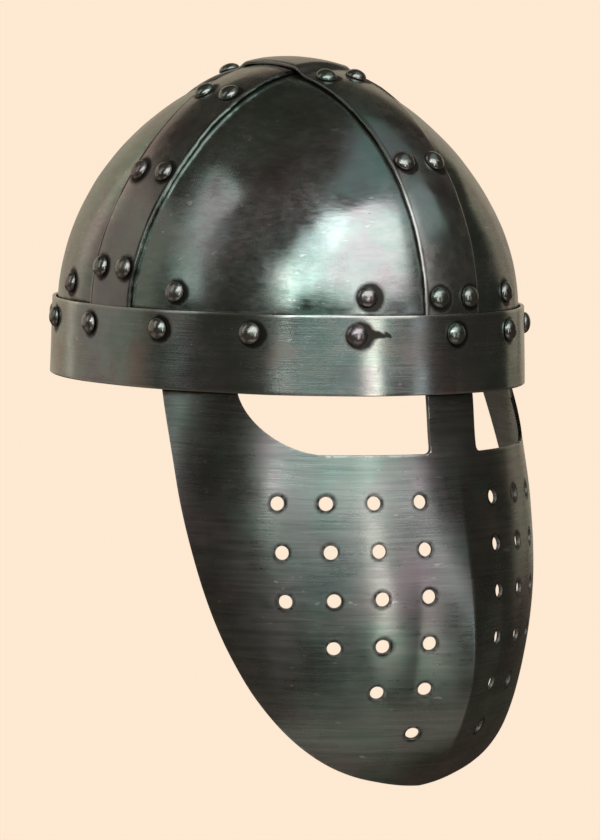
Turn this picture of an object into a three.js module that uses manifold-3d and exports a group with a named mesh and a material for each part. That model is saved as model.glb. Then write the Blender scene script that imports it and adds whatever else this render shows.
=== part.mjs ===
// A spangenhelm: a riveted steel helmet with a brow band, two crossed strips over the crown, four
// infill plates between them, and a perforated face plate with a keel down its middle.
// Units are millimetres. +Z is up, the face looks along -Y and +X is the wearer's left. The origin is
// the centre of the brow band's oval, in the plane of its lower edge.
import * as THREE from "three";
import { mergeVertices } from "three/addons/utils/BufferGeometryUtils.js";
import Module from "manifold-3d";

const wasm = await Module();
wasm.setup();

const SHEET = 1.6; // thickness of every sheet
const GAP = 0.4; // clearance between neighbouring pieces

// Brow band: half length and half width of its outer oval, its height and how much it tapers.
const BAND_A = 117.5;
const BAND_B = 98;
const BAND_HEIGHT = 34.2;
const BAND_TAPER = 0.992;
const BAND_SEGMENTS = 48;

// Dome: outer half axes of the strips, and the level where the upright wall turns into the dome.
const DOME_A = 114.5;
const DOME_B = 95.1;
const DOME_C = 109.3;
const DOME_LEVEL = 31;
const SHEET_FOOT = 16; // level of the strips' and plates' lower edges, behind the band
const STRIP_HALF = 15; // half width of both strips
const STRIP_STEP = 2.5; // rise of the front-to-back strip where it crosses the other one
const CROSSING_Y = -5.1; // middle of the side-to-side strip at the crown
const STRIP_LEAN = 12.6; // how far back the same strip stands at the band
const PLATE_DEPTH = SHEET + GAP; // depth of the plates' outer faces below the strips'
const PLATE_EDGE = 3.5; // distance of a plate's hidden edge from a strip's middle line
const PLATE_BULGE = 1.5; // plates stand out by this between the strips, down behind the band
const PLATE_FLAT = 2.2; // and are flatter than the strips' oval by this half way up

// Face plate: level, half length, half width, keel height and roundness of its cross-sections.
const FACE_SECTIONS = [
  { z: 34, a: 110.1, b: 90.7, keel: 0, n: 2 },
  { z: 14, a: 110.1, b: 90.7, keel: 0, n: 2 },
  { z: 0, a: 112.8, b: 94.5, keel: 0, n: 2 },
  { z: -20, a: 115, b: 98.6, keel: 0, n: 1.98 },
  { z: -55, a: 121.2, b: 104, keel: 1.9, n: 1.94 },
  { z: -90, a: 125.8, b: 105.6, keel: 4.2, n: 1.86 },
  { z: -120, a: 123.7, b: 103.6, keel: 6.2, n: 1.8 },
  { z: -145, a: 115.4, b: 99.4, keel: 6.1, n: 1.8 },
  { z: -160, a: 105.6, b: 96.1, keel: 4.2, n: 1.8 },
  { z: -178, a: 89, b: 91, keel: 0, n: 1.78 },
];
const FACE_TOP = 32;
const FACE_COLUMNS = 16;
const FACE_ROWS = 12;
const KEEL_HALF = 24; // half width of the creased zone
const NASAL_HALF = 12.8; // half width of the nose guard between the eyes
const EYE_BOTTOM = -25.5;
const EYE_OUTER = 78.3;
const EYE_CORNER = 3; // radius at the foot of the nose guard
const CHIN = { y: -95.3, z: -173 };
const CHEEK_TOP_Y = -22; // rear edge of the cheeks at the top of the plate
const CHEEK_REAR = [
  // y and z of the same edge on its way down to the chin
  [-27, 2],
  [-37.5, -25],
  [-46.2, -50],
  [-54.6, -75],
  [-62.7, -100],
  [-71.9, -125],
  [-83.2, -150],
  [-90.1, -165],
];
const HOLE_RADIUS = 3;
const HOLE_PITCH = 20.2; // of the rows
const HOLE_SPACING = 20.9; // of the holes in a row, along the plate
const HOLE_DIP = 0.25; // rows dip outwards, each more than the one above
const HOLE_TOP_Z = -45.3;
const HOLE_ROWS = [4, 4, 4, 3, 2, 1]; // holes on each side, row by row downwards

// Rivets: domed heads, with shanks that run through the sheets.
const HEAD_RADIUS = 4.7;
const HEAD_HEIGHT = 3;
const SHANK_RADIUS = 2;
const RIVET_SEGMENTS = 8;
const SHANK_HOLE_RADIUS = 2.9;
const SHANK_HOLE_SIDES = 6;
const RIVET_LIFT = 0.3; // heads stand clear of the sheet by this
const PAIR_HALF = 8.5; // rivets of a pair stand this far from the strip's middle line
const FRONT_PAIR_ANGLES = [5.5, 38.5, 71.5];
const BACK_PAIR_ANGLES = [5.5, 38.5, 74];
const RIGHT_PAIR_ANGLES = [10.5, 34.5, 61.5];
const LEFT_PAIR_ANGLES = [10.5, 29, 47];
const BAND_RIVET_Z = 26;
const BAND_RIVET_ANGLES = [1, 28, 53, 76, 99, 120, 144, 168, 192, 216, 240, 264, 288, 312, 338];
const PLATE_RIVET_Z = 42;
const PLATE_RIVET_ANGLES = { front: [25, 73], back: [114, 154] };

const steel = new THREE.MeshStandardMaterial({ color: 0x3a3836, roughness: 0.38, metalness: 0.95 });
const rivetSteel = new THREE.MeshStandardMaterial({ color: 0x45413c, roughness: 0.35, metalness: 0.95 });
const group = new THREE.Group();

const rad = THREE.MathUtils.degToRad;

// ---- geometry helpers

// A manifold-3d solid from a three.js geometry, turned to face out.
function solid(geometry) {
  geometry.deleteAttribute("normal");
  geometry.deleteAttribute("uv");
  const merged = mergeVertices(geometry, 1e-4);
  const vertProperties = new Float32Array(merged.attributes.position.array);
  const triVerts = new Uint32Array(merged.index.array);
  const made = new wasm.Manifold(new wasm.Mesh({ numProp: 3, vertProperties, triVerts }));
  if (made.volume() > 0) {
    return made;
  }
  return new wasm.Manifold(new wasm.Mesh({ numProp: 3, vertProperties, triVerts: triVerts.reverse() }));
}

function addMesh(name, made, material) {
  const { vertProperties, triVerts, numProp } = made.getMesh();
  const position = new Float32Array((vertProperties.length / numProp) * 3);
  for (let i = 0; i * numProp < vertProperties.length; i++) {
    position.set(vertProperties.subarray(i * numProp, i * numProp + 3), i * 3);
  }
  const geometry = new THREE.BufferGeometry();
  geometry.setAttribute("position", new THREE.BufferAttribute(position, 3));
  geometry.setIndex(new THREE.BufferAttribute(triVerts, 1));
  geometry.computeVertexNormals();
  const mesh = new THREE.Mesh(geometry, material);
  mesh.name = name;
  group.add(mesh);
}

// A closed sheet between two grids of points, outer and inner, of the same rows and columns.
// A wrapped sheet joins its last column to its first.
function sheet(outer, inner, wrapped = false) {
  const rows = outer.length;
  const columns = outer[0].length;
  const points = [...outer.flat(), ...inner.flat()];
  const at = (side, r, c) => side * rows * columns + r * columns + (c % columns);
  const index = [];
  const quad = (a, b, c, d) => index.push(a, b, c, a, c, d);
  const lastColumn = wrapped ? columns : columns - 1;
  for (let r = 0; r < rows - 1; r++) {
    for (let c = 0; c < lastColumn; c++) {
      quad(at(0, r, c), at(0, r, c + 1), at(0, r + 1, c + 1), at(0, r + 1, c));
      quad(at(1, r, c), at(1, r + 1, c), at(1, r + 1, c + 1), at(1, r, c + 1));
    }
    if (!wrapped) {
      quad(at(0, r, 0), at(0, r + 1, 0), at(1, r + 1, 0), at(1, r, 0));
      quad(at(0, r, lastColumn), at(1, r, lastColumn), at(1, r + 1, lastColumn), at(0, r + 1, lastColumn));
    }
  }
  for (let c = 0; c < lastColumn; c++) {
    quad(at(0, 0, c), at(1, 0, c), at(1, 0, c + 1), at(0, 0, c + 1));
    quad(at(0, rows - 1, c), at(0, rows - 1, c + 1), at(1, rows - 1, c + 1), at(1, rows - 1, c));
  }
  const geometry = new THREE.BufferGeometry().setFromPoints(points);
  geometry.setIndex(index);
  return solid(geometry);
}

// Evenly spaced numbers from start to end.
function spaced(start, end, steps) {
  return Array.from({ length: steps + 1 }, (_, i) => start + ((end - start) * i) / steps);
}

// ---- the dome's shape, shared by the strips and the plates

// A point of the dome at a turn from the front and a rise above its level, sunk below the strips' face.
function domePoint(turn, rise, depth) {
  const flat = Math.cos(Math.max(rise, 0));
  return new THREE.Vector3(
    -(DOME_B - depth) * flat * Math.sin(turn),
    -(DOME_A - depth) * flat * Math.cos(turn),
    DOME_LEVEL + (DOME_C - depth) * Math.sin(rise),
  );
}

// Middle line of the side-to-side strip: it leans back on its way down to the band.
function sideStripY(rise) {
  const share = Math.min(1, Math.max(0, Math.sin(rise) / 0.85));
  return CROSSING_Y + (STRIP_LEAN * (1 + Math.cos(Math.PI * share))) / 2;
}

// Rise of a level on the wall or the dome.
const footRise = Math.asin((SHEET_FOOT - DOME_LEVEL) / DOME_C);

// The front-to-back strip lies over the other one, so it steps up around the crossing.
function crossingStep(y) {
  const away = Math.abs(y - CROSSING_Y) - STRIP_HALF - 1;
  return STRIP_STEP * (1 - THREE.MathUtils.smoothstep(away, 0, 8));
}

// Points of the strips' faces: rise runs from one foot over the crown (90 degrees) to the other foot.
function frontBackPoint(rise, x, depth) {
  const flat = rise < 0 || rise > Math.PI ? Math.sign(Math.cos(rise)) : Math.cos(rise);
  const y = -DOME_A * flat;
  const sunk = depth - crossingStep(y);
  const cross = Math.sqrt(1 - (x / (DOME_B - sunk)) ** 2);
  return new THREE.Vector3(
    x,
    -(DOME_A - sunk) * cross * flat,
    DOME_LEVEL + (DOME_C - sunk) * cross * Math.sin(rise),
  );
}

function sidePoint(rise, offset, depth) {
  const flat = rise < 0 || rise > Math.PI ? Math.sign(Math.cos(rise)) : Math.cos(rise);
  const y = sideStripY(rise) + offset;
  const cross = Math.sqrt(1 - (y / (DOME_A - depth)) ** 2);
  return new THREE.Vector3(
    -(DOME_B - depth) * cross * flat,
    y,
    DOME_LEVEL + (DOME_C - depth) * cross * Math.sin(rise),
  );
}

// ---- rivets, and the holes that their shanks need in every sheet

const rivets = [];
const shankHoles = [];

function addRivet(name, point, outward, shank) {
  const turn = new THREE.Quaternion().setFromUnitVectors(new THREE.Vector3(0, 1, 0), outward);
  const profile = [
    [0, HEAD_HEIGHT],
    [HEAD_RADIUS * 0.66, HEAD_HEIGHT * 0.76],
    [HEAD_RADIUS, 0],
    [SHANK_RADIUS, 0],
    [SHANK_RADIUS, -shank],
    [0, -shank],
  ].map(([r, h]) => new THREE.Vector2(r, h + RIVET_LIFT));
  const body = new THREE.LatheGeometry(profile, RIVET_SEGMENTS);
  body.applyQuaternion(turn).translate(point.x, point.y, point.z);
  rivets.push({ name, made: solid(body) });
  const drill = new THREE.CylinderGeometry(
    SHANK_HOLE_RADIUS,
    SHANK_HOLE_RADIUS,
    2 * shank + 4,
    SHANK_HOLE_SIDES,
  );
  drill.applyQuaternion(turn).translate(point.x, point.y, point.z);
  shankHoles.push(solid(drill));
}

// Unit vector pointing out of a surface given as a function of two numbers.
function outwardOf(surface, u, v) {
  const step = 1e-3;
  const alongU = surface(u + step, v).sub(surface(u - step, v));
  const alongV = surface(u, v + step).sub(surface(u, v - step));
  const normal = alongU.cross(alongV).normalize();
  return normal.dot(surface(u, v)) < 0 ? normal.negate() : normal;
}

const stripShank = 2 * SHEET + GAP + 0.9;
for (const [end, angles, surface] of [
  ["front", FRONT_PAIR_ANGLES, (rise, x) => frontBackPoint(rise, x, 0)],
  ["back", BACK_PAIR_ANGLES.map((a) => 180 - a), (rise, x) => frontBackPoint(rise, x, 0)],
  ["right", RIGHT_PAIR_ANGLES, (rise, y) => sidePoint(rise, y, 0)],
  ["left", LEFT_PAIR_ANGLES.map((a) => 180 - a), (rise, y) => sidePoint(rise, y, 0)],
]) {
  angles.forEach((angle, i) => {
    for (const [side, offset] of [["a", -PAIR_HALF], ["b", PAIR_HALF]]) {
      const point = surface(rad(angle), offset);
      const outward = outwardOf(surface, rad(angle), offset);
      addRivet(`rivet_${end}_strip_${i + 1}${side}`, point, outward, stripShank);
    }
  });
}

// Plates stand out a little behind the band and are flatter half way up, between the strips only.
function platePoint(turn, rise, depth) {
  const between = Math.sin(2 * turn) ** 2;
  const low = Math.cos(Math.max(rise, 0)) ** 4;
  const middle = Math.sin(2 * Math.max(rise, 0)) ** 2;
  return domePoint(turn, rise, depth - between * (PLATE_BULGE * low - PLATE_FLAT * middle));
}

const plateRivetRise = Math.asin((PLATE_RIVET_Z - DOME_LEVEL) / DOME_C);
for (const [end, angles] of Object.entries(PLATE_RIVET_ANGLES)) {
  for (const [side, sign] of [["right", 1], ["left", -1]]) {
    angles.forEach((angle, i) => {
      const surface = (turn, rise) => platePoint(turn, rise, PLATE_DEPTH);
      const point = surface(rad(sign * angle), plateRivetRise);
      const outward = outwardOf(surface, rad(sign * angle), plateRivetRise);
      addRivet(`rivet_plate_${end}_${side}_${i + 1}`, point, outward, SHEET + 0.9);
    });
  }
}

function bandPoint(turn, z, depth) {
  const taper = 1 + ((BAND_TAPER - 1) * z) / BAND_HEIGHT;
  return new THREE.Vector3(
    -(BAND_B * taper - depth) * Math.sin(turn),
    -(BAND_A * taper - depth) * Math.cos(turn),
    z,
  );
}

// Shanks are longer where the face plate's tabs lie inside the dome.
BAND_RIVET_ANGLES.forEach((angle, i) => {
  const surface = (turn, z) => bandPoint(turn, z, 0);
  const fromFront = Math.min(angle, 360 - angle);
  const throughTab = fromFront < 5 || (fromFront > 45 && fromFront < 80);
  const outward = outwardOf(surface, rad(angle), BAND_RIVET_Z).setZ(0).normalize();
  const shank = throughTab ? 8.6 : 6.4;
  addRivet(`rivet_band_${i + 1}`, surface(rad(angle), BAND_RIVET_Z), outward, shank);
});

const allShankHoles = wasm.Manifold.union(shankHoles);

// ---- brow band

const bandTurns = spaced(0, 2 * Math.PI, BAND_SEGMENTS).slice(0, -1);
const bandGrid = (depth) => [0, BAND_HEIGHT].map((z) => bandTurns.map((t) => bandPoint(t, z, depth)));
const band = sheet(bandGrid(0), bandGrid(SHEET), true);
addMesh("brow_band", band.subtract(allShankHoles), steel);

// ---- the two crossed strips

const stripRises = spaced(footRise, Math.PI - footRise, 32);
const stripOffsets = spaced(-STRIP_HALF, STRIP_HALF, 3);
for (const [name, surface] of [
  ["front_back_strip", frontBackPoint],
  ["side_to_side_strip", sidePoint],
]) {
  const grid = (depth) => stripRises.map((rise) => stripOffsets.map((s) => surface(rise, s, depth)));
  addMesh(name, sheet(grid(0), grid(SHEET)).subtract(allShankHoles), steel);
}

// ---- the four infill plates

const PLATE_TOP_RISE = 82;
const plateRises = [footRise, ...spaced(0, rad(PLATE_TOP_RISE), 8)];
for (const [end, toward] of [["front", 1], ["back", -1]]) {
  for (const [side, sign] of [["right", 1], ["left", -1]]) {
    const grid = (depth) =>
      plateRises.map((rise) => {
        const flat = Math.cos(Math.max(rise, 0));
        const first = Math.asin(PLATE_EDGE / ((DOME_B - depth) * flat));
        const last = Math.acos((PLATE_EDGE - toward * sideStripY(rise)) / ((DOME_A - depth) * flat));
        const turns = spaced(first, last, 7).map((t) => (toward > 0 ? t : Math.PI - t));
        return turns.map((t) => platePoint(sign * t, rise, depth));
      });
    const plate = sheet(grid(PLATE_DEPTH), grid(PLATE_DEPTH + SHEET));
    addMesh(`plate_${end}_${side}`, plate.subtract(allShankHoles), steel);
  }
}

// ---- face plate

// A smooth value between the sections, by Hermite interpolation with averaged slopes.
function faceValue(key, z) {
  const s = FACE_SECTIONS;
  let i = 0;
  while (i < s.length - 2 && s[i + 1].z > z) {
    i++;
  }
  const rate = (j) => (s[j + 1][key] - s[j][key]) / (s[j + 1].z - s[j].z);
  const slope = (j) => {
    if (j === 0) {
      return rate(0);
    }
    if (j === s.length - 1) {
      return rate(j - 1);
    }
    return (rate(j - 1) + rate(j)) / 2;
  };
  const step = s[i + 1].z - s[i].z;
  const t = (z - s[i].z) / step;
  const keep = 2 * t ** 3 - 3 * t ** 2 + 1;
  return (
    keep * s[i][key] +
    (1 - keep) * s[i + 1][key] +
    step * (t ** 3 - 2 * t ** 2 + t) * slope(i) +
    step * (t ** 3 - t ** 2) * slope(i + 1)
  );
}

// Outer face of the face plate: each section is a superellipse with a keel at its middle.
function facePoint(turn, z) {
  const power = 2 / faceValue("n", z);
  const x = -Math.sign(turn) * faceValue("b", z) * Math.abs(Math.sin(turn)) ** power;
  const keel = faceValue("keel", z) * Math.max(0, 1 - Math.abs(x) / KEEL_HALF) ** 1.3;
  return new THREE.Vector3(x, -faceValue("a", z) * Math.cos(turn) ** power - keel, z);
}

// The same face sunk by a depth along its normal.
function faceSunk(turn, z, depth) {
  const step = 0.02;
  const alongTurn = facePoint(turn + step, z).sub(facePoint(turn - step, z));
  const alongZ = facePoint(turn, z + 1).sub(facePoint(turn, z - 1));
  const outward = alongTurn.cross(alongZ).normalize();
  if (outward.y > 0) {
    outward.negate();
  }
  return facePoint(turn, z).addScaledVector(outward, -depth);
}

const faceLevels = [FACE_TOP, 14, ...spaced(0, -176, FACE_ROWS)];
const faceTurns = spaced(-rad(80), rad(80), FACE_COLUMNS);
const faceGrid = (depth) => faceLevels.map((z) => faceTurns.map((turn) => faceSunk(turn, z, depth)));
let face = sheet(faceGrid(0), faceGrid(SHEET));

// Everything behind the cheeks' rear edge is cut away, as seen from the side.
const rearCut = new THREE.Shape();
rearCut.moveTo(CHEEK_TOP_Y, FACE_TOP + 5);
rearCut.lineTo(...CHEEK_REAR[0]);
rearCut.splineThru([...CHEEK_REAR.slice(1), [CHIN.y, CHIN.z]].map(([y, z]) => new THREE.Vector2(y, z)));
rearCut.lineTo(CHIN.y - 20, CHIN.z - 3);
rearCut.lineTo(CHIN.y - 20, CHIN.z - 30);
rearCut.lineTo(60, CHIN.z - 30);
rearCut.lineTo(60, FACE_TOP + 5);
const rearBody = new THREE.ExtrudeGeometry(rearCut, { depth: 260, bevelEnabled: false, curveSegments: 2 });
const sideView = new THREE.Matrix4().makeBasis(
  new THREE.Vector3(0, 1, 0),
  new THREE.Vector3(0, 0, 1),
  new THREE.Vector3(1, 0, 0),
);
rearBody.applyMatrix4(sideView).translate(-130, 0, 0);
face = face.subtract(solid(rearBody));

// Eye openings, as seen from the front: open at the top behind the band.
for (const sign of [1, -1]) {
  const eye = new THREE.Shape();
  eye.moveTo(NASAL_HALF, FACE_TOP + 5);
  eye.lineTo(NASAL_HALF, EYE_BOTTOM + EYE_CORNER);
  eye.quadraticCurveTo(NASAL_HALF, EYE_BOTTOM, NASAL_HALF + EYE_CORNER, EYE_BOTTOM);
  eye.lineTo(55, EYE_BOTTOM);
  eye.bezierCurveTo(68, EYE_BOTTOM, EYE_OUTER, -14, EYE_OUTER, 0);
  eye.bezierCurveTo(EYE_OUTER, 8, 74, 14, 70, 16);
  eye.lineTo(70, FACE_TOP + 5);
  const eyeBody = new THREE.ExtrudeGeometry(eye, { depth: 120, bevelEnabled: false, curveSegments: 5 });
  const frontView = new THREE.Matrix4().makeBasis(
    new THREE.Vector3(sign, 0, 0),
    new THREE.Vector3(0, 0, 1),
    new THREE.Vector3(0, -1, 0),
  );
  eyeBody.applyMatrix4(frontView).translate(0, -20, 0);
  face = face.subtract(solid(eyeBody));
}

// Breathing holes: a square grid over each cheek, drilled square to the plate.
const drills = [];
HOLE_ROWS.forEach((count, row) => {
  for (const sign of [1, -1]) {
    let turn = 0;
    let travelled = 0;
    for (let column = 1; column <= count; column++) {
      const z = HOLE_TOP_Z - row * HOLE_PITCH - HOLE_DIP * (row + 1) * (column - 1);
      let last = facePoint(sign * turn, z);
      while (travelled < column * HOLE_SPACING) {
        turn += 0.002;
        const next = facePoint(sign * turn, z);
        travelled += next.distanceTo(last);
        last = next;
      }
      const inside = faceSunk(sign * turn, z, 5);
      const drill = new THREE.CylinderGeometry(HOLE_RADIUS, HOLE_RADIUS, 14, 8);
      const outward = last.clone().sub(inside).normalize();
      drill.applyQuaternion(new THREE.Quaternion().setFromUnitVectors(new THREE.Vector3(0, 1, 0), outward));
      drills.push(solid(drill.translate(last.x, last.y, last.z)));
    }
  }
});
face = face.subtract(wasm.Manifold.union(drills)).subtract(allShankHoles);
addMesh("face_plate", face, steel);

// ---- the rivets themselves

for (const { name, made } of rivets) {
  addMesh(name, made, rivetSteel);
}

export default group;
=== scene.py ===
import math
import random

import bmesh
import bpy
import numpy as np
from mathutils import Matrix, Vector, noise


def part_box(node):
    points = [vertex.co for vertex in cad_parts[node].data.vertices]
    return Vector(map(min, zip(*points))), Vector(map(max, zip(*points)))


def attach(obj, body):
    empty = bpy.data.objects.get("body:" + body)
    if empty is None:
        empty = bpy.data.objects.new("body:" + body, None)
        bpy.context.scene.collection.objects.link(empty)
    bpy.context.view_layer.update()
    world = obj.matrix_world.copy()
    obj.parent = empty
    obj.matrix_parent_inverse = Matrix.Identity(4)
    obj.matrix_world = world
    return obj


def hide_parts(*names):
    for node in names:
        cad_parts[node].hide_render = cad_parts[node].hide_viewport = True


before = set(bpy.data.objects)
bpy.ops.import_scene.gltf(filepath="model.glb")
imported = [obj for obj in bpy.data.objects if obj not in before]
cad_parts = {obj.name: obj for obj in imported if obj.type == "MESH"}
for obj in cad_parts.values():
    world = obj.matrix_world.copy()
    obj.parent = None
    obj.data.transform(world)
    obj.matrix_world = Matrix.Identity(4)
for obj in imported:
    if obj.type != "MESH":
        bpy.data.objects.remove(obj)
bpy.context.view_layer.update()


# ---- the studio
# A pale floor far below the helmet, which is held up as on a head, and a plain backdrop of the same
# colour. The lights are soft panels: a broad group in front and on the wearer's right, narrow lamps
# that draw the upright streaks on the steel, and dim warm walls behind and at the sides.

backdrop_colour = (0.99, 0.815, 0.645, 1)


def aim(bearing, elevation):
    """Unit vector to a bearing from straight ahead of the face, positive to the wearer's left."""
    a = math.radians(bearing)
    e = math.radians(elevation)
    return Vector((math.sin(a) * math.cos(e), -math.cos(a) * math.cos(e), math.sin(e)))


def soft_panel(name, bearing, elevation, across, tall, brightness, colour=(1, 1, 1), roll=0):
    """A large soft light four metres away, seen from the helmet as so many degrees across and tall."""
    distance = 4
    panel = bpy.data.lights.new(name, "AREA")
    panel.shape = "RECTANGLE"
    panel.size = 2 * distance * math.tan(math.radians(across / 2))
    panel.size_y = 2 * distance * math.tan(math.radians(tall / 2))
    panel.energy = brightness * math.pi * panel.size * panel.size_y
    panel.color = colour
    lamp = bpy.data.objects.new(name, panel)
    bpy.context.scene.collection.objects.link(lamp)
    facing = (-aim(bearing, elevation)).to_track_quat("-Z", "Y").to_matrix().to_4x4()
    place = Matrix.Translation(aim(bearing, elevation) * distance)
    lamp.matrix_world = place @ facing @ Matrix.Rotation(math.radians(roll), 4, "Z")
    lamp.visible_camera = False


soft_panel("front_softbox", -11, 32, 46, 44, 1.65, (1, 0.965, 0.965))
soft_panel("front_softbox_edge", -41, 38, 12, 34, 0.9, (0.74, 1, 0.95), roll=-28)
soft_panel("left_teal_panel", 36, 41, 26, 22, 0.38, (0.8, 1, 1))
soft_panel("right_low_softbox", -46, 18, 26, 13, 1.45, (0.93, 1, 0.98))
soft_panel("right_upper_softbox", -49, 29, 17, 24, 1.0, (0.84, 1, 0.97), roll=-20)
soft_panel("side_hot_lamp", -61, 15, 8, 17, 2.6, (1, 0.97, 0.93))
soft_panel("low_front_lamp", -16, -7, 8, 26, 3.1, (1, 0.92, 0.82))
soft_panel("keel_lamp", 13, -7, 8, 22, 0.7, (0.92, 0.96, 1))
soft_panel("low_front_fill", -30, -4, 50, 13, 0.3, (0.6, 1, 0.93))
soft_panel("right_strip_panel", -110, 29, 14, 48, 0.62, (0.95, 1, 0.96))
soft_panel("overhead_panel", 35, 68, 50, 26, 0.22, (0.7, 1, 1))
soft_panel("right_wall", -150, 10, 52, 46, 0.25, (1, 0.88, 0.76))
soft_panel("back_wall", 152, 14, 80, 44, 0.4, (1, 0.84, 0.64))
soft_panel("left_wall", 100, 8, 18, 28, 0.34, (1, 0.82, 0.63))
soft_panel("low_back_wall", -140, -38, 50, 30, 0.16, (1, 0.8, 0.62))
soft_panel("floor_glow", -20, -58, 60, 26, 0.3, (1, 0.84, 0.78))

world = bpy.data.worlds.new("studio")
world.use_nodes = True
bpy.context.scene.world = world
nodes = world.node_tree.nodes
links = world.node_tree.links
nodes.clear()
direction = nodes.new("ShaderNodeTexCoord")
axes = nodes.new("ShaderNodeSeparateXYZ")
links.new(direction.outputs["Generated"], axes.inputs[0])
height_share = nodes.new("ShaderNodeMapRange")
height_share.inputs["From Min"].default_value = -1
height_share.inputs["From Max"].default_value = 1
links.new(axes.outputs["Z"], height_share.inputs["Value"])
room_colour = nodes.new("ShaderNodeValToRGB")
ramp = room_colour.color_ramp
ramp.elements[0].position = 0
ramp.elements[0].color = (0.085, 0.066, 0.05, 1)
ramp.elements[1].position = 1
ramp.elements[1].color = (0.045, 0.036, 0.03, 1)
ramp.elements.new(0.35).color = (0.05, 0.04, 0.032, 1)
ramp.elements.new(0.5).color = (0.03, 0.026, 0.022, 1)
links.new(height_share.outputs[0], room_colour.inputs[0])
room = nodes.new("ShaderNodeBackground")
links.new(room_colour.outputs[0], room.inputs["Color"])
plain = nodes.new("ShaderNodeBackground")
plain.inputs["Color"].default_value = backdrop_colour
path = nodes.new("ShaderNodeLightPath")
mix = nodes.new("ShaderNodeMixShader")
links.new(path.outputs["Is Glossy Ray"], mix.inputs[0])
links.new(plain.outputs[0], mix.inputs[1])
links.new(room.outputs[0], mix.inputs[2])
output = nodes.new("ShaderNodeOutputWorld")
links.new(mix.outputs[0], output.inputs["Surface"])

bpy.ops.object.select_all(action="DESELECT")
floor_level = -0.62
bpy.ops.mesh.primitive_circle_add(vertices=96, radius=60, fill_type="NGON", location=(0, 0, floor_level))
floor = bpy.context.object
floor.name = "floor"
floor_paper = bpy.data.materials.new("floor_paper")
floor_paper.use_nodes = True
floor_shader = floor_paper.node_tree.nodes["Principled BSDF"]
floor_shader.inputs["Base Color"].default_value = (0, 0, 0, 1)
floor_shader.inputs["Specular IOR Level"].default_value = 0
floor_shader.inputs["Emission Color"].default_value = backdrop_colour
floor_shader.inputs["Emission Strength"].default_value = 1
floor.data.materials.append(floor_paper)
floor.visible_glossy = False

view_bearing = -39.64
view_elevation = 4.97
view_roll = math.radians(0.694)
view_distance = 2.1267
view_shift_right = 0.00663
view_shift_down = 0.0199
back = aim(view_bearing, view_elevation)
level_right = Vector((math.cos(math.radians(view_bearing)), math.sin(math.radians(view_bearing)), 0))
level_up = back.cross(level_right)
right = math.cos(view_roll) * level_right + math.sin(view_roll) * level_up
up = back.cross(right)
camera_data = bpy.data.cameras.new("camera")
camera_data.sensor_width = 36
camera_data.lens = 203.4
camera_data.clip_end = 200
camera = bpy.data.objects.new("camera", camera_data)
bpy.context.scene.collection.objects.link(camera)
turn = Matrix((right, up, back)).transposed().to_4x4()
turn.translation = back * view_distance + right * view_shift_right - up * view_shift_down
camera.matrix_world = turn
bpy.context.scene.camera = camera
bpy.context.scene.view_settings.view_transform = "Standard"


# ---- brow band
# An upright oval hoop of steel sheet round the brow, closed at the back and riveted to everything
# under it. Blackened and oiled, then brushed along its length, so it shines in upright streaks.

sheet = 0.0016
head_height = 0.003


def seat_of(node):
    """Where a rivet's head sits, its axis outwards and its shank's length, from its CAD node."""
    points = np.array([v.co[:] for v in node.data.vertices])
    triangles = np.array([p.vertices[:] for p in node.data.polygons])
    corners = points[triangles]
    sides = corners[:, 1:] - corners[:, :1]
    areas = np.linalg.norm(np.cross(sides[:, 0], sides[:, 1]), axis=1)
    heavy = (corners.mean(axis=1) * areas[:, None]).sum(axis=0) / areas.sum()
    plain_middle = np.unique(points.round(6), axis=0).mean(axis=0)
    outward = heavy - plain_middle
    outward = outward / np.linalg.norm(outward)
    along = (points - plain_middle) @ outward
    seat = plain_middle + outward * (along.max() - head_height)
    return Vector(seat), Vector(outward), float(along.max() - along.min() - head_height)


rivet_seats = {name: seat_of(node) for name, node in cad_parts.items() if name.startswith("rivet_")}


def smooth_step(value, start, end):
    t = min(1, max(0, (value - start) / (end - start)))
    return t * t * (3 - 2 * t)


def waver(point, size, seed):
    """Slow noise from -1 to 1 with features of about that size in metres."""
    return noise.noise(Vector(point) / size + Vector((seed * 7.3, seed * 3.1, seed * 5.7)))


def planish(piece, depth, size, seed):
    """Leaves the shallow hand-hammered waves that a beaten sheet has."""
    normals = [v.normal.copy() for v in piece.data.vertices]
    for vertex, normal in zip(piece.data.vertices, normals):
        wave = waver(vertex.co, size, seed) + 0.5 * waver(vertex.co, size * 0.45, seed + 1)
        vertex.co += normal * depth * wave


def select_only(piece):
    bpy.ops.object.select_all(action="DESELECT")
    piece.select_set(True)
    bpy.context.view_layer.objects.active = piece


def apply_all(piece):
    select_only(piece)
    for modifier in list(piece.modifiers):
        bpy.ops.object.modifier_apply(modifier=modifier.name)


def give_thickness(piece, even=True):
    wall = piece.modifiers.new("wall", "SOLIDIFY")
    wall.thickness = sheet
    wall.offset = -1
    wall.use_even_offset = even
    apply_all(piece)


def round_edges(piece, width, segments, sharpest):
    """Takes off every edge whose faces turn by more than so many degrees."""
    rounding = piece.modifiers.new("rounding", "BEVEL")
    rounding.width = width
    rounding.segments = segments
    rounding.limit_method = "ANGLE"
    rounding.angle_limit = math.radians(sharpest)
    apply_all(piece)


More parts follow.
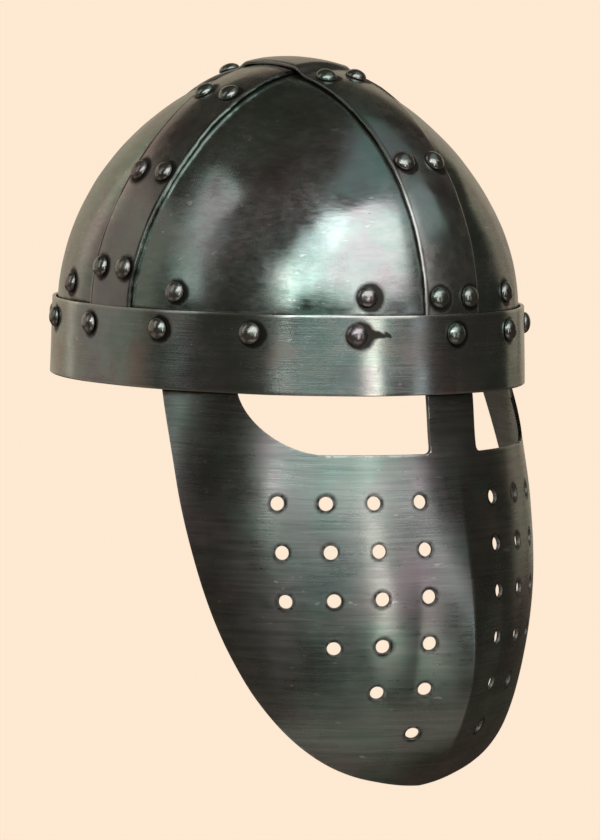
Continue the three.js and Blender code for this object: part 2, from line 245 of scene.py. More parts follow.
def paint_marks(piece, rivets=(), extra=None):
    """Stores grime and painted shade, round rivet heads and in corners, and where edges are worn. Each
    rivet's ring of grime is shifted to one side as a painted shadow.
    """
    mesh = piece.data
    count = len(mesh.vertices)
    points = np.empty(count * 3)
    mesh.vertices.foreach_get("co", points)
    points = points.reshape(-1, 3)
    grime_and_shade = np.zeros(count)
    for name in rivets:
        seat, outward, _ = rivet_seats[name]
        # the ring is shifted towards this side: a painted shadow beside the head, laid over real grime
        shadow_side = Vector((0.77, -0.64, -0.3))
        shadow_side = shadow_side - outward * shadow_side.dot(outward)
        away = np.linalg.norm(points - np.array(seat + shadow_side * 0.0013), axis=1)
        reach = 0.0013 + 0.0009 * abs(waver(seat, 0.02, 5))
        grime_and_shade = np.maximum(grime_and_shade, np.exp(-np.maximum(0, away - 0.0053) / reach))
    if extra is not None:
        grime_and_shade = np.maximum(grime_and_shade, extra(points))
    attribute = mesh.attributes.new("grime_and_shade", "FLOAT", "POINT")
    attribute.data.foreach_set("value", grime_and_shade.astype(np.float32))
    worn = np.zeros(count, np.float32)
    shape = bmesh.new()
    shape.from_mesh(mesh)
    for line in shape.edges:
        if line.is_manifold and line.calc_face_angle() > math.radians(22):
            worn[line.verts[0].index] = 1
            worn[line.verts[1].index] = 1
    shape.free()
    attribute = mesh.attributes.new("worn", "FLOAT", "POINT")
    attribute.data.foreach_set("value", worn)


def blackened_steel(name, grain, grain_strength, dark, mid, tint, rough, seed, wear=0.55, brushed=0.0):
    """Blackened, oiled and brushed steel. Grain is the brush marks' frequency along X, Y and Z."""
    material = bpy.data.materials.new(name)
    material.use_nodes = True
    tree = material.node_tree
    shader = tree.nodes["Principled BSDF"]
    shader.inputs["Metallic"].default_value = 1
    shader.inputs["Anisotropic"].default_value = brushed
    shader.inputs["Anisotropic Rotation"].default_value = 0.25

    def node(kind, **values):
        made = tree.nodes.new(kind)
        for key, value in values.items():
            if key in made.inputs:
                made.inputs[key].default_value = value
            else:
                setattr(made, key, value)
        return made

    def pattern(scale, detail, roughness, mapping_scale=(1, 1, 1), offset=0.0):
        place = node("ShaderNodeMapping")
        place.inputs["Scale"].default_value = mapping_scale
        place.inputs["Location"].default_value = (offset, offset * 0.7, offset * 1.3)
        tree.links.new(coordinates.outputs["Object"], place.inputs["Vector"])
        made = node("ShaderNodeTexNoise", Scale=scale, Detail=detail, Roughness=roughness)
        tree.links.new(place.outputs[0], made.inputs["Vector"])
        return made.outputs["Fac"]

    def spread(value, low, high, to_low=0.0, to_high=1.0):
        made = node("ShaderNodeMapRange")
        made.inputs["From Min"].default_value = low
        made.inputs["From Max"].default_value = high
        made.inputs["To Min"].default_value = to_low
        made.inputs["To Max"].default_value = to_high
        tree.links.new(value, made.inputs["Value"])
        return made.outputs[0]

    def blend(factor, first, second, mode="MIX"):
        made = node("ShaderNodeMix", data_type="RGBA", blend_type=mode)
        for value, socket in ((factor, made.inputs[0]), (first, made.inputs[6]), (second, made.inputs[7])):
            if isinstance(value, bpy.types.NodeSocket):
                tree.links.new(value, socket)
            else:
                socket.default_value = value
        return made.outputs[2]

    def maths(operation, first, second):
        made = node("ShaderNodeMath", operation=operation)
        for value, socket in ((first, made.inputs[0]), (second, made.inputs[1])):
            if isinstance(value, bpy.types.NodeSocket):
                tree.links.new(value, socket)
            else:
                socket.default_value = value
        return made.outputs[0]

    coordinates = node("ShaderNodeTexCoord")
    grime_and_shade = node("ShaderNodeAttribute", attribute_name="grime_and_shade").outputs["Fac"]
    worn = node("ShaderNodeAttribute", attribute_name="worn").outputs["Fac"]

    broad = pattern(11, 3, 0.5, offset=seed)
    tarnish = pattern(19, 4, 0.6, offset=seed + 17)
    patches = pattern(38, 5, 0.6, offset=seed + 3)
    scratches = pattern(1, 2, 0.5, mapping_scale=(60, 210, 380), offset=seed + 21)
    specks = pattern(420, 4, 0.7, offset=seed + 5)
    brushing = pattern(1, 4, 0.65, mapping_scale=grain, offset=seed + 9)
    fine_brushing = pattern(1, 2, 0.5, mapping_scale=tuple(3.1 * g for g in grain), offset=seed + 11)

    colour = blend(spread(broad, 0.38, 0.62), dark, mid)
    colour = blend(spread(patches, 0.5, 0.72, 0, 0.75), colour, tint)
    colour = blend(spread(tarnish, 0.53, 0.66, 0, 0.6), colour, (0.39, 0.29, 0.35, 1))
    colour = blend(spread(tarnish, 0.5, 0.38, 0, 0.6), colour, (0.2, 0.35, 0.29, 1))
    colour = blend(spread(brushing, 0.3, 0.75, 0, 0.35), colour, (0.62, 0.62, 0.6, 1))
    colour = blend(spread(scratches, 0.69, 0.76, 0, 0.6), colour, (0.8, 0.8, 0.78, 1))
    colour = blend(spread(specks, 0.66, 0.78, 0, 0.5), colour, (0.05, 0.04, 0.032, 1))
    # The stored darkening is partly real grime and stains, and partly painted shade in corners, along strip
    # edges and round rivet feet. It also roughens the steel.
    grime_and_shade_edge = maths("ADD", grime_and_shade, spread(patches, 0.3, 0.7, -0.22, 0.22))
    dirt_and_shade = spread(grime_and_shade_edge, 0.3, 0.8, 0, 0.93)
    colour = blend(dirt_and_shade, colour, (0.028, 0.022, 0.018, 1))
    worn_edge = maths("MULTIPLY", worn, spread(patches, 0.25, 0.6, wear * 0.8, wear))
    colour = blend(worn_edge, colour, (0.86, 0.84, 0.8, 1))
    tree.links.new(colour, shader.inputs["Base Color"])

    gloss = spread(patches, 0.3, 0.72, rough - 0.06, rough + 0.1)
    gloss = maths("ADD", gloss, spread(fine_brushing, 0.3, 0.7, -0.035, 0.035))
    gloss = maths("ADD", gloss, spread(dirt_and_shade, 0, 1, 0, 0.3))
    tree.links.new(gloss, shader.inputs["Roughness"])

    relief = maths("ADD", spread(brushing, 0, 1, 0, 0.6), spread(fine_brushing, 0, 1, 0, 0.4))
    relief = maths("SUBTRACT", relief, spread(specks, 0.68, 0.82, 0, 1.1))
    bump = node("ShaderNodeBump", Strength=grain_strength, Distance=0.0002)
    tree.links.new(relief, bump.inputs["Height"])
    tree.links.new(bump.outputs[0], shader.inputs["Normal"])
    return material


def finish_piece(piece, node, material):
    piece.name = node + "_piece"
    piece.data.name = node + "_piece"
    piece.data.materials.clear()
    piece.data.materials.append(material)
    select_only(piece)
    bpy.ops.object.shade_smooth_by_angle(angle=math.radians(40))
    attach(piece, "root")
    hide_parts(node)


band_b = 0.098
band_a = 0.1175
band_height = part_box("brow_band")[1][2]
band_taper = 0.992
band_rows = 24
sheared_edge = 0.0003
bpy.ops.object.select_all(action="DESELECT")
bpy.ops.mesh.primitive_cylinder_add(
    vertices=400, radius=1, depth=1, end_fill_type="NOTHING", location=(0, 0, 0.5)
)
band = bpy.context.object
bpy.ops.object.transform_apply(location=True, rotation=True, scale=True)
bpy.ops.object.mode_set(mode="EDIT")
for row in range(1, band_rows):
    bpy.ops.mesh.select_all(action="SELECT")
    bpy.ops.mesh.bisect(plane_co=(0, 0, row / band_rows), plane_no=(0, 0, 1))
bpy.ops.mesh.select_all(action="SELECT")
bpy.ops.transform.resize(value=(band_b, band_a, band_height), center_override=(0, 0, 0))
bpy.ops.mesh.normals_make_consistent(inside=False)
bpy.ops.object.mode_set(mode="OBJECT")
for vertex in band.data.vertices:
    share = vertex.co.z / band_height
    vertex.co.x *= 1 + (band_taper - 1) * share
    vertex.co.y *= 1 + (band_taper - 1) * share
    # the edge is not quite straight, and a faint crease runs down from the front rivet
    vertex.co.z += 0.00022 * waver(vertex.co, 0.035, 2)
    crease = math.exp(-((vertex.co.x + 0.001) / 0.0012) ** 2) if vertex.co.y < 0 else 0
    vertex.co.y += 0.00035 * crease * (1 - share)
band.data.update()
planish(band, 0.00016, 0.03, 4)
give_thickness(band)
round_edges(band, sheared_edge, 2, 50)


def band_tail(points):
    """A pitted, dark streak runs forwards from one rivet on the wearer's right."""
    seat = rivet_seats["rivet_band_2"][0]
    length = 0.0145
    along = Vector((0.87, -0.49, 0)).normalized()
    offset = points - np.array(seat)
    ahead = offset @ np.array(along)
    rise = offset[:, 2] + 0.0004 * np.sin(ahead * 1900)
    width = 0.0038 * np.clip(1 - ahead / 0.0155, 0.3, 1)
    near = np.linalg.norm(offset, axis=1) < 0.02
    return 1.3 * near * (ahead > 0) * (ahead < length) * np.exp(-((rise / width) ** 2))


paint_marks(band, [name for name in rivet_seats if name.startswith("rivet_band_")], band_tail)
band_steel = blackened_steel(
    "band_steel",
    grain=(14, 14, 900),
    grain_strength=0.35,
    dark=(0.31, 0.37, 0.35, 1),
    mid=(0.42, 0.51, 0.49, 1),
    tint=(0.42, 0.29, 0.25, 1),
    rough=0.23,
    seed=1,
    brushed=0.75,
)
finish_piece(band, "brow_band", band_steel)


# ---- crossed strips
# Two flat steel strips bent over the crown and riveted down in pairs. The front-to-back one lies on
# top and steps up over the other, which leans back a little on its way down to the band.

dome_a = 0.1145
dome_b = 0.0951
dome_c = 0.1093
dome_level = 0.031
sheet_foot = 0.016
strip_half = 0.015
strip_step = 0.0025
crossing_y = -0.0051
strip_lean = 0.0126
strip_crown = 0.0005


def ragged_edges(piece, sideways, seed, amount=0.00022):
    """Sheared edges wander a little."""
    shape = bmesh.new()
    shape.from_mesh(piece.data)
    for vertex in shape.verts:
        if vertex.is_boundary:
            vertex.co += Vector(sideways) * amount * (
                waver(vertex.co, 0.012, seed) + 0.7 * waver(vertex.co, 0.003, seed + 1)
            )
    shape.to_mesh(piece.data)
    shape.free()


def side_strip_y(rise_share):
    """The side-to-side strip's middle at a share of the dome's height."""
    share = np.clip(rise_share / 0.85, 0, 1)
    return crossing_y + strip_lean * (1 + np.cos(np.pi * share)) / 2


def cut_from_ball(cuts, turn=(0, 0, 0), segments=120, rings=60):
    """A ball of radius 1 trimmed by planes, each a point and the side to throw away, then refined."""
    bpy.ops.object.select_all(action="DESELECT")
    bpy.ops.mesh.primitive_uv_sphere_add(segments=segments, ring_count=rings, radius=1, rotation=turn)
    piece = bpy.context.object
    bpy.ops.object.transform_apply(location=True, rotation=True, scale=True)
    bpy.ops.object.mode_set(mode="EDIT")
    for place, away in cuts:
        bpy.ops.mesh.select_all(action="SELECT")
        bpy.ops.mesh.bisect(plane_co=place, plane_no=away, clear_outer=True)
    bpy.ops.mesh.select_all(action="SELECT")
    bpy.ops.mesh.remove_doubles(threshold=0.006)
    bpy.ops.mesh.subdivide(number_cuts=3)
    bpy.ops.object.mode_set(mode="OBJECT")
    for vertex in piece.data.vertices:
        level = vertex.co.z < 1e-4
        vertex.co.normalize()
        if level:
            vertex.co.z = 0
    return piece


def extend_to_foot(piece, steps=6):
    """Draws the lower edge straight down behind the band."""
    drop = (dome_level - sheet_foot) / steps
    select_only(piece)
    bpy.ops.object.mode_set(mode="EDIT")
    bpy.ops.mesh.select_mode(type="EDGE")
    bpy.ops.mesh.select_all(action="DESELECT")
    bpy.ops.object.mode_set(mode="OBJECT")
    for line in piece.data.edges:
        ends = [piece.data.vertices[i] for i in line.vertices]
        line.select = all(abs(v.co.z - dome_level) < 1e-5 for v in ends)
    bpy.ops.object.mode_set(mode="EDIT")
    for _ in range(steps):
        bpy.ops.mesh.extrude_edges_move(TRANSFORM_OT_translate={"value": (0, 0, -drop)})
    bpy.ops.mesh.select_all(action="SELECT")
    bpy.ops.mesh.normals_make_consistent(inside=False)
    bpy.ops.mesh.select_mode(type="VERT")
    bpy.ops.object.mode_set(mode="OBJECT")


def turn_outwards(piece):
    """An open shell has no inside of its own, so its faces are turned away from the helmet's middle."""
    shape = bmesh.new()
    shape.from_mesh(piece.data)
    middle = Vector((0, 0, 0.03))
    facing = sum(face.normal.dot(face.calc_center_median() - middle) > 0 for face in shape.faces)
    if facing < len(shape.faces) / 2:
        bmesh.ops.reverse_faces(shape, faces=shape.faces)
    shape.to_mesh(piece.data)
    shape.free()
    piece.data.update()


half = strip_half / dome_b
front_back = cut_from_ball(
    (((half, 0, 0), (1, 0, 0)), ((-half, 0, 0), (-1, 0, 0)), ((0, 0, 0), (0, 0, -1))),
    turn=(0, math.pi / 2, 0),
    rings=58,
)
for vertex in front_back.data.vertices:
    y = vertex.co.y * dome_a
    away = abs(y - crossing_y) - strip_half - 0.001
    raised = strip_step * (1 - smooth_step(away, 0, 0.008))
    raised -= strip_crown * (vertex.co.x * dome_b / strip_half) ** 2
    vertex.co.x *= dome_b
    vertex.co.y *= dome_a + raised
    vertex.co.z = dome_level + vertex.co.z * (dome_c + raised)
extend_to_foot(front_back)
turn_outwards(front_back)
ragged_edges(front_back, (1, 0, 0), 3)
planish(front_back, 0.00012, 0.02, 8)
give_thickness(front_back)
round_edges(front_back, sheared_edge, 2, 50)
front_back_rivets = [n for n in rivet_seats if n.startswith(("rivet_front_strip", "rivet_back_strip"))]


def strip_edge_shade(points):
    """Painted shade along both sides of the strip, just inside its edges."""
    in_from_edge = strip_half - np.abs(points[:, 0])
    return 0.62 * np.exp(-(((in_from_edge - 0.0013) / 0.001) ** 2))


paint_marks(front_back, front_back_rivets, strip_edge_shade)
strip_steel = blackened_steel(
    "strip_steel",
    grain=(60, 60, 60),
    grain_strength=0.3,
    dark=(0.28, 0.31, 0.29, 1),
    mid=(0.38, 0.43, 0.41, 1),
    tint=(0.37, 0.3, 0.27, 1),
    rough=0.23,
    seed=21,
    wear=0.22,
)
finish_piece(front_back, "front_back_strip", strip_steel)

half = strip_half / dome_a
side_to_side = cut_from_ball(
    (((0, half, 0), (0, 1, 0)), ((0, -half, 0), (0, -1, 0)), ((0, 0, 0), (0, 0, -1))),
    turn=(math.pi / 2, 0, 0),
    rings=71,
)
for vertex in side_to_side.data.vertices:
    rise_share = vertex.co.z / math.sqrt(1 - vertex.co.y**2)
    y = vertex.co.y * dome_a + side_strip_y(rise_share)
    stretch = math.sqrt(1 - (y / dome_a) ** 2) / math.sqrt(1 - vertex.co.y**2)
    stretch *= 1 - strip_crown / dome_c * (vertex.co.y * dome_a / strip_half) ** 2
    vertex.co = Vector((vertex.co.x * dome_b * stretch, y, dome_level + vertex.co.z * dome_c * stretch))
extend_to_foot(side_to_side)
turn_outwards(side_to_side)
ragged_edges(side_to_side, (0, 1, 0), 13, 0.0004)
planish(side_to_side, 0.0001, 0.02, 18)
give_thickness(side_to_side)
round_edges(side_to_side, sheared_edge, 2, 50)
side_rivets = [n for n in rivet_seats if n.startswith(("rivet_right_strip", "rivet_left_strip"))]


# Painted shade just inside both edges of the side-to-side strip.
def side_strip_edge_shade(points):
    middle = side_strip_y((points[:, 2] - dome_level) / dome_c)
    in_from_edge = strip_half - np.abs(points[:, 1] - middle)
    return 0.8 * np.exp(-(((in_from_edge - 0.0011) / 0.0009) ** 2))


paint_marks(side_to_side, side_rivets, side_strip_edge_shade)
finish_piece(side_to_side, "side_to_side_strip", strip_steel)


# ---- infill plates
# Four curved triangles of steel sheet, beaten to the dome's shape and riveted on under the strips.
# They are a little flatter than the strips' oval, and polished brighter with many fine scratches.

plate_depth = 0.0020
plate_edge = 0.0035
plate_bulge = 0.0015
plate_flat = 0.0022
plate_steel = blackened_steel(
    "plate_steel",
    grain=(75, 75, 240),
    grain_strength=0.22,
    dark=(0.24, 0.33, 0.29, 1),
    mid=(0.4, 0.49, 0.47, 1),
    tint=(0.36, 0.34, 0.35, 1),
    rough=0.2,
    seed=33,
    wear=0.5,
)


def corner_shade(points):
    """Painted shade in the corners along the strips and just above the band."""
    middle = side_strip_y((points[:, 2] - dome_level) / dome_c)
    from_front_back = np.abs(points[:, 0]) - strip_half
    from_side = np.abs(points[:, 1] - middle) - strip_half
    near_strip = np.exp(-np.maximum(0, np.minimum(from_front_back, from_side)) / 0.0016)
    near_band = np.exp(-np.maximum(0, points[:, 2] - band_height) / 0.0012)
    return 0.8 * np.maximum(near_strip, near_band)


for end, toward in (("front", -1), ("back", 1)):
    for side, sign in (("right", -1), ("left", 1)):
        name = f"plate_{end}_{side}"
        a = dome_a - plate_depth
        b = dome_b - plate_depth
        c = dome_c - plate_depth
        lean = Vector((0, toward * a, toward * strip_lean)).normalized()
        middle_y = crossing_y + strip_lean / 2 + toward * plate_edge
        plate = cut_from_ball(
            (
                ((sign * plate_edge / b, 0, 0), (-sign, 0, 0)),
                ((0, middle_y / a, 0.5), -lean),
                ((0, 0, 0), (0, 0, -1)),
                ((0, 0, 0.99), (0, 0, 1)),
            )
        )
        bpy.ops.object.mode_set(mode="EDIT")
        bpy.ops.mesh.select_all(action="SELECT")
        bpy.ops.transform.resize(value=(b, a, c), center_override=(0, 0, 0))
        bpy.ops.transform.translate(value=(0, 0, dome_level))
        bpy.ops.object.mode_set(mode="OBJECT")
        extend_to_foot(plate)
        turn_outwards(plate)
        for vertex in plate.data.vertices:
            x = vertex.co.x / b
            y = vertex.co.y / a
            flat = math.hypot(x, y)
            between = (2 * x * y / flat**2) ** 2
            rise = min(1, max(0, (vertex.co.z - dome_level) / c))
            out = between * (plate_bulge * (1 - rise**2) ** 2 - plate_flat * 4 * rise**2 * (1 - rise**2))
            wave = 0.00032 * waver(vertex.co, 0.034, sign + 3 * toward + 9)
            wave += 0.00012 * waver(vertex.co, 0.012, sign + 3 * toward + 19)
            # a plate dips a little where the strips clamp it
            beside = min(
                abs(vertex.co.x) - strip_half,
                toward * (vertex.co.y - side_strip_y((vertex.co.z - dome_level) / dome_c)) - strip_half,
            )
            dip = 0.00022 * math.exp(-max(0, beside) / 0.0035)
            vertex.co += Vector((x, y, rise)).normalized() * (out + wave * min(1, 1.6 * between) - dip)
        plate.data.update()
        give_thickness(plate, even=False)
        plate_rivets = [n for n in rivet_seats if n.startswith(f"rivet_plate_{end}_{side}")]
        paint_marks(plate, plate_rivets, corner_shade)
        finish_piece(plate, name, plate_steel)


# ---- face plate
# One sheet dished forwards over the face, with a nose guard and two eye openings at the top, a keel
# hammered down its middle, and drilled breathing holes. Its top tabs are riveted inside the band.

face_sections = (
    # level, half length, half width, keel, roundness
    (0.034, 0.1101, 0.0907, 0, 2),
    (0.014, 0.1101, 0.0907, 0, 2),
    (0, 0.1128, 0.0945, 0, 2),
    (-0.020, 0.1150, 0.0986, 0, 1.98),
    (-0.055, 0.1212, 0.1040, 0.0019, 1.94),
    (-0.090, 0.1258, 0.1056, 0.0042, 1.86),
    (-0.120, 0.1237, 0.1036, 0.0062, 1.8),
    (-0.145, 0.1154, 0.0994, 0.0061, 1.8),
    (-0.160, 0.1056, 0.0961, 0.0042, 1.8),
    (-0.178, 0.0890, 0.0910, 0, 1.78),
)
keel_half = 0.024
face_top = 0.032
face_bottom = -0.177


def face_values(z):
    """Half length, half width, keel and roundness at a level, flowing smoothly between sections."""
    levels = [row[0] for row in face_sections]
    i = 0
    while i < len(levels) - 2 and levels[i + 1] > z:
        i += 1
    step = levels[i + 1] - levels[i]
    t = (z - levels[i]) / step
    keep = 2 * t**3 - 3 * t**2 + 1
    values = []
    for key in range(1, 5):
        rates = [
            (face_sections[j + 1][key] - face_sections[j][key]) / (levels[j + 1] - levels[j])
            for j in range(len(levels) - 1)
        ]

        def slope(j):
            if j in (0, len(levels) - 1):
                return rates[min(j, len(rates) - 1)]
            return (rates[j - 1] + rates[j]) / 2

        values.append(
            keep * face_sections[i][key]
            + (1 - keep) * face_sections[i + 1][key]
            + step * (t**3 - 2 * t**2 + t) * slope(i)
            + step * (t**3 - t**2) * slope(i + 1)
        )
    return values


def face_point(turn, z, values=None):
    half_length, half_width, keel, roundness = values or face_values(z)
    power = 2 / roundness
    x = -math.copysign(half_width * abs(math.sin(turn)) ** power, turn)
    ridge = keel * max(0, 1 - abs(x) / keel_half) ** 1.3
    return Vector((x, -half_length * math.cos(turn) ** power - ridge, z))


columns = 216
rows = 150
widest = math.radians(81)
bpy.ops.object.select_all(action="DESELECT")
bpy.ops.mesh.primitive_grid_add(x_subdivisions=columns, y_subdivisions=rows, size=2)
face = bpy.context.object
values_at = {}
for vertex in face.data.vertices:
    z = face_top + (face_bottom - face_top) * (1 - vertex.co.y) / 2
    key = round(vertex.co.y, 5)
    if key not in values_at:
        values_at[key] = face_values(z)
    vertex.co = face_point(-vertex.co.x * widest, z, values_at[key])
face.data.update()
turn_outwards(face)
planish(face, 0.00014, 0.03, 41)
give_thickness(face)


def quadratic(start, control, end, steps):
    curve = []
    for i in range(1, steps + 1):
        t = i / steps
        weights = ((1 - t) ** 2, 2 * t * (1 - t), t**2)
        curve.append([sum(w * c for w, c in zip(weights, axis)) for axis in zip(start, control, end)])
    return curve


def cubic(start, first, second, end, steps):
    curve = []
    for i in range(1, steps + 1):
        t = i / steps
        weights = ((1 - t) ** 3, 3 * t * (1 - t) ** 2, 3 * t**2 * (1 - t), t**3)
        curve.append([sum(w * c for w, c in zip(weights, axis)) for axis in zip(start, first, second, end)])
    return curve


def cutter(outline, place, depth):
    """A block of the outline's shape, from place at one face to the other along depth."""
    mesh = bpy.data.meshes.new("cutter")
    mesh.from_pydata([place(p) for p in outline], [], [tuple(range(len(outline)))])
    block = bpy.data.objects.new("cutter", mesh)
    bpy.context.scene.collection.objects.link(block)
    select_only(block)
    bpy.ops.object.mode_set(mode="EDIT")
    bpy.ops.mesh.select_all(action="SELECT")
    bpy.ops.mesh.extrude_region_move(TRANSFORM_OT_translate={"value": depth})
    bpy.ops.mesh.select_all(action="SELECT")
    bpy.ops.mesh.normals_make_consistent(inside=False)
    bpy.ops.object.mode_set(mode="OBJECT")
    return block


def cut_away(piece, blocks):
    bpy.ops.object.select_all(action="DESELECT")
    for block in blocks:
        block.select_set(True)
    bpy.context.view_layer.objects.active = blocks[0]
    if len(blocks) > 1:
        bpy.ops.object.join()
    tool = blocks[0]
    cut = piece.modifiers.new("cut", "BOOLEAN")
    cut.operation = "DIFFERENCE"
    cut.solver = "EXACT"
    cut.object = tool
    apply_all(piece)
    bpy.data.objects.remove(tool)


def flowing_line(points, steps):
    """A smooth curve through the points."""
    points = [np.array(p) for p in points]
    ends = [2 * points[0] - points[1]] + points + [2 * points[-1] - points[-2]]
    curve = [tuple(points[0])]
    for before, first, second, after in zip(ends, ends[1:], ends[2:], ends[3:]):
        for i in range(1, steps + 1):
            t = i / steps
            swing = (second - before) / 2, (after - first) / 2
            keep = 2 * t**3 - 3 * t**2 + 1
            flow = (t**3 - 2 * t**2 + t) * swing[0] + (t**3 - t**2) * swing[1]
            curve.append(tuple(keep * first + (1 - keep) * second + flow))
    return curve


chin_y = -0.0953
chin_z = -0.173
cheek_rear = (
    # y and z of the cheeks' rear edge, from the brow to the chin
    (-0.027, 0.002),
    (-0.0375, -0.025),
    (-0.0462, -0.050),
    (-0.0546, -0.075),
    (-0.0627, -0.100),
    (-0.0719, -0.125),
    (-0.0832, -0.150),
    (-0.0901, -0.165),
    (chin_y, chin_z),
)
rear_outline = [(-0.022, 0.037)] + flowing_line(cheek_rear, 8)
rear_outline += [
    (chin_y - 0.02, chin_z - 0.003),
    (chin_y - 0.02, chin_z - 0.03),
    (0.06, chin_z - 0.03),
    (0.06, 0.037),
]
cut_away(face, [cutter(rear_outline, lambda p: (-0.13, p[0], p[1]), (0.26, 0, 0))])

nasal_half = 0.0128
eye_bottom = -0.0255
eye_outer = 0.0783
eye_corner = 0.003
eyes = []
for sign in (-1, 1):
    eye = [(nasal_half, face_top + 0.005), (nasal_half, eye_bottom + eye_corner)]
    eye += quadratic(eye[-1], (nasal_half, eye_bottom), (nasal_half + eye_corner, eye_bottom), 6)
    eye.append((0.055, eye_bottom))
    eye += cubic(eye[-1], (0.068, eye_bottom), (eye_outer, -0.014), (eye_outer, 0), 24)
    eye += cubic(eye[-1], (eye_outer, 0.008), (0.074, 0.014), (0.07, 0.016), 8)
    eye.append((0.07, face_top + 0.005))
    eyes.append(cutter(eye, lambda p: (sign * p[0], -0.02, p[1]), (0, -0.12, 0)))
cut_away(face, eyes)

hole_radius = 0.003
hole_top = -0.0453
hole_pitch = 0.0202
hole_spacing = 0.0209
hole_dip = 0.00025
holes_per_row = (4, 4, 4, 3, 2, 1)
bpy.ops.object.select_all(action="DESELECT")
bpy.ops.mesh.primitive_cylinder_add(vertices=36, radius=hole_radius, depth=0.008)
drill_pattern = bpy.context.object
drill_pattern.data.transform(Matrix.Translation((0, 0, -0.0042)))
# the drill's shoulder breaks the hole's outer edge
bpy.ops.object.mode_set(mode="EDIT")
bpy.ops.mesh.select_all(action="DESELECT")
bpy.ops.object.mode_set(mode="OBJECT")
for polygon in drill_pattern.data.polygons:
    polygon.select = polygon.normal.z > 0.9
bpy.ops.object.mode_set(mode="EDIT")
bpy.ops.mesh.extrude_region_move(TRANSFORM_OT_translate={"value": (0, 0, 0.0032)})
bpy.ops.transform.resize(value=(1.85, 1.85, 1), center_override=(0, 0, 0))
bpy.ops.object.mode_set(mode="OBJECT")

drills = []
hole_places = []
for row, count in enumerate(holes_per_row):
    for sign in (-1, 1):
        angle = 0
        travelled = 0
        for column in range(1, count + 1):
            z = hole_top - row * hole_pitch - hole_dip * (row + 1) * (column - 1)
            values = face_values(z)
            last = face_point(sign * angle, z, values)
            while travelled < column * hole_spacing:
                angle += 0.002
                following = face_point(sign * angle, z, values)
                travelled += (following - last).length
                last = following
            along_row = face_point(sign * angle + 0.02, z, values)
            along_row -= face_point(sign * angle - 0.02, z, values)
            along_height = face_point(sign * angle, z + 0.001) - face_point(sign * angle, z - 0.001)
            outward = along_row.cross(along_height).normalized()
            if outward.y > 0:
                outward = -outward
            hole_places.append(last)
            turn = outward.to_track_quat("Z", "Y")
            drill = drill_pattern.copy()
            drill.data = drill_pattern.data.copy()
            bpy.context.collection.objects.link(drill)
            drill.data.transform(Matrix.Translation(last) @ turn.to_matrix().to_4x4())
            drills.append(drill)
bpy.data.objects.remove(drill_pattern)
cut_away(face, drills)
round_edges(face, 0.00025, 1, 55)


# Darker rings round each breathing hole, and painted shade on the face plate just below the band's lower
# edge.
def hole_rings_and_band_shade(points):
    darkening = np.zeros(len(points))
    for place in hole_places:
        away = np.linalg.norm(points - np.array(place), axis=1)
        darkening = np.maximum(darkening, 0.9 * np.exp(-np.maximum(0, away - 0.0034) / 0.0014))
    near_band = np.exp(-np.maximum(0, -points[:, 2]) / 0.002) * (points[:, 2] < 0.003)
    return np.maximum(darkening, 0.8 * near_band)


paint_marks(face, (), hole_rings_and_band_shade)
face_steel = blackened_steel(
    "face_steel",
    grain=(22, 22, 520),
    grain_strength=0.35,
    dark=(0.17, 0.19, 0.18, 1),
    mid=(0.26, 0.29, 0.28, 1),
    tint=(0.27, 0.24, 0.23, 1),
    rough=0.29,
    seed=55,
    wear=0.3,
    brushed=0.6,
)
finish_piece(face, "face_plate", face_steel)


# ---- rivets
# Round-headed steel rivets, set by hand. Each shank goes through the sheets and is closed over
# inside. The heads' tops are worn bright, and their feet are painted dark, a painted shadow where each head
# meets the sheet.

rivet_steel = blackened_steel(
    "rivet_steel",
    grain=(300, 300, 300),
    grain_strength=0.3,
    dark=(0.28, 0.29, 0.27, 1),
    mid=(0.4, 0.41, 0.39, 1),
    tint=(0.33, 0.3, 0.27, 1),
    rough=0.24,
    seed=71,
    wear=0.3,
)
head_radius = 0.0047
shank_radius = 0.002
shank_end = 0.0006
shank_start = -0.002  # the pattern's shank, lengthened in each copy to go through its own sheets

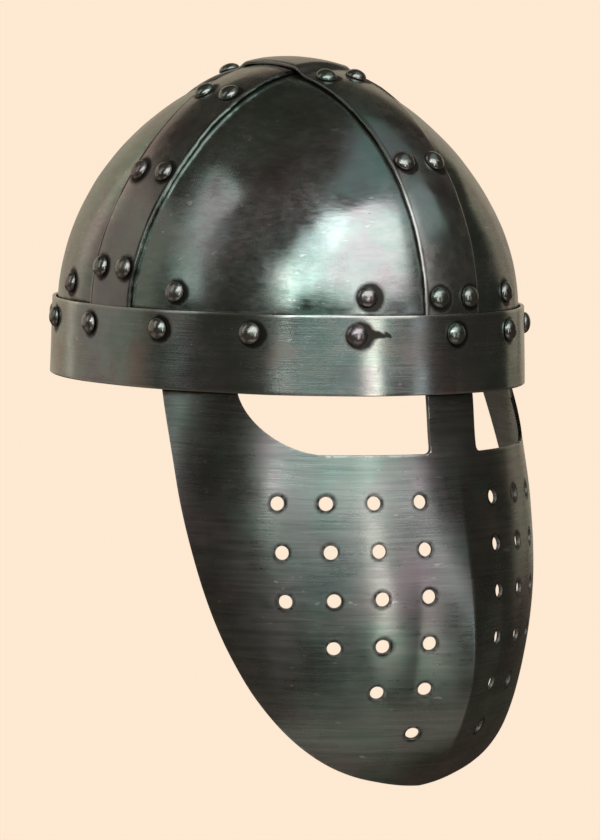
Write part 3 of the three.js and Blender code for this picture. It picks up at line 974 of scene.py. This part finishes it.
bpy.ops.object.select_all(action="DESELECT")
bpy.ops.mesh.primitive_uv_sphere_add(segments=40, ring_count=20, radius=1)
rivet_pattern = bpy.context.object
bpy.ops.object.mode_set(mode="EDIT")
bpy.ops.mesh.select_all(action="SELECT")
bpy.ops.mesh.bisect(plane_co=(0, 0, 0.02), plane_no=(0, 0, -1), clear_outer=True, use_fill=True)
bpy.ops.transform.translate(value=(0, 0, -0.02))
bpy.ops.mesh.select_all(action="SELECT")
bpy.ops.transform.resize(value=(head_radius, head_radius, head_height), center_override=(0, 0, 0))
bpy.ops.mesh.select_all(action="DESELECT")
bpy.ops.object.mode_set(mode="OBJECT")
for polygon in rivet_pattern.data.polygons:
    polygon.select = len(polygon.vertices) > 4
bpy.ops.object.mode_set(mode="EDIT")
bpy.ops.mesh.select_mode(type="FACE")
bpy.ops.mesh.inset(thickness=head_radius - shank_radius)
bpy.ops.mesh.extrude_region_move(TRANSFORM_OT_translate={"value": (0, 0, shank_start)})
bpy.ops.mesh.inset(thickness=-0.0004)
bpy.ops.mesh.extrude_region_move(TRANSFORM_OT_translate={"value": (0, 0, -shank_end)})
bpy.ops.transform.resize(value=(0.6, 0.6, 1))
bpy.ops.mesh.select_all(action="SELECT")
bpy.ops.mesh.normals_make_consistent(inside=False)
bpy.ops.object.mode_set(mode="OBJECT")

dice = random.Random(7)
for name in sorted(rivet_seats):
    seat, outward, shank = rivet_seats[name]
    rivet = rivet_pattern.copy()
    rivet.data = rivet_pattern.data.copy()
    bpy.context.collection.objects.link(rivet)
    size = 1 + dice.uniform(-0.03, 0.03)
    tilt = Matrix.Rotation(math.radians(dice.uniform(-4, 4)), 4, (1, 0, 0))
    spin = Matrix.Rotation(dice.uniform(0, 6), 4, (0, 0, 1))
    blow = dice.randint(1, 50)
    for vertex in rivet.data.vertices:
        if vertex.co.z > 0:
            vertex.co += vertex.co.normalized() * 0.00014 * waver(vertex.co, 0.0035, blow)
        elif vertex.co.z < shank_start / 2:
            vertex.co.z -= shank - shank_end + shank_start
    grow = Matrix.Diagonal((size, size, 1, 1))
    stand = Matrix.Translation(seat) @ outward.to_track_quat("Z", "Y").to_matrix().to_4x4()
    rivet.data.transform(stand @ tilt @ spin @ grow)
    rivet.data.update()
    foot = seat - outward * 0.0001

    # painted shadow round each head's foot, where it meets the sheet
    def foot_shadow(points):
        above = (points - np.array(foot)) @ np.array(outward)
        return 0.75 * np.exp(-np.maximum(0, above) / 0.0006)

    paint_marks(rivet, (), foot_shadow)
    finish_piece(rivet, name, rivet_steel)
bpy.data.objects.remove(rivet_pattern)
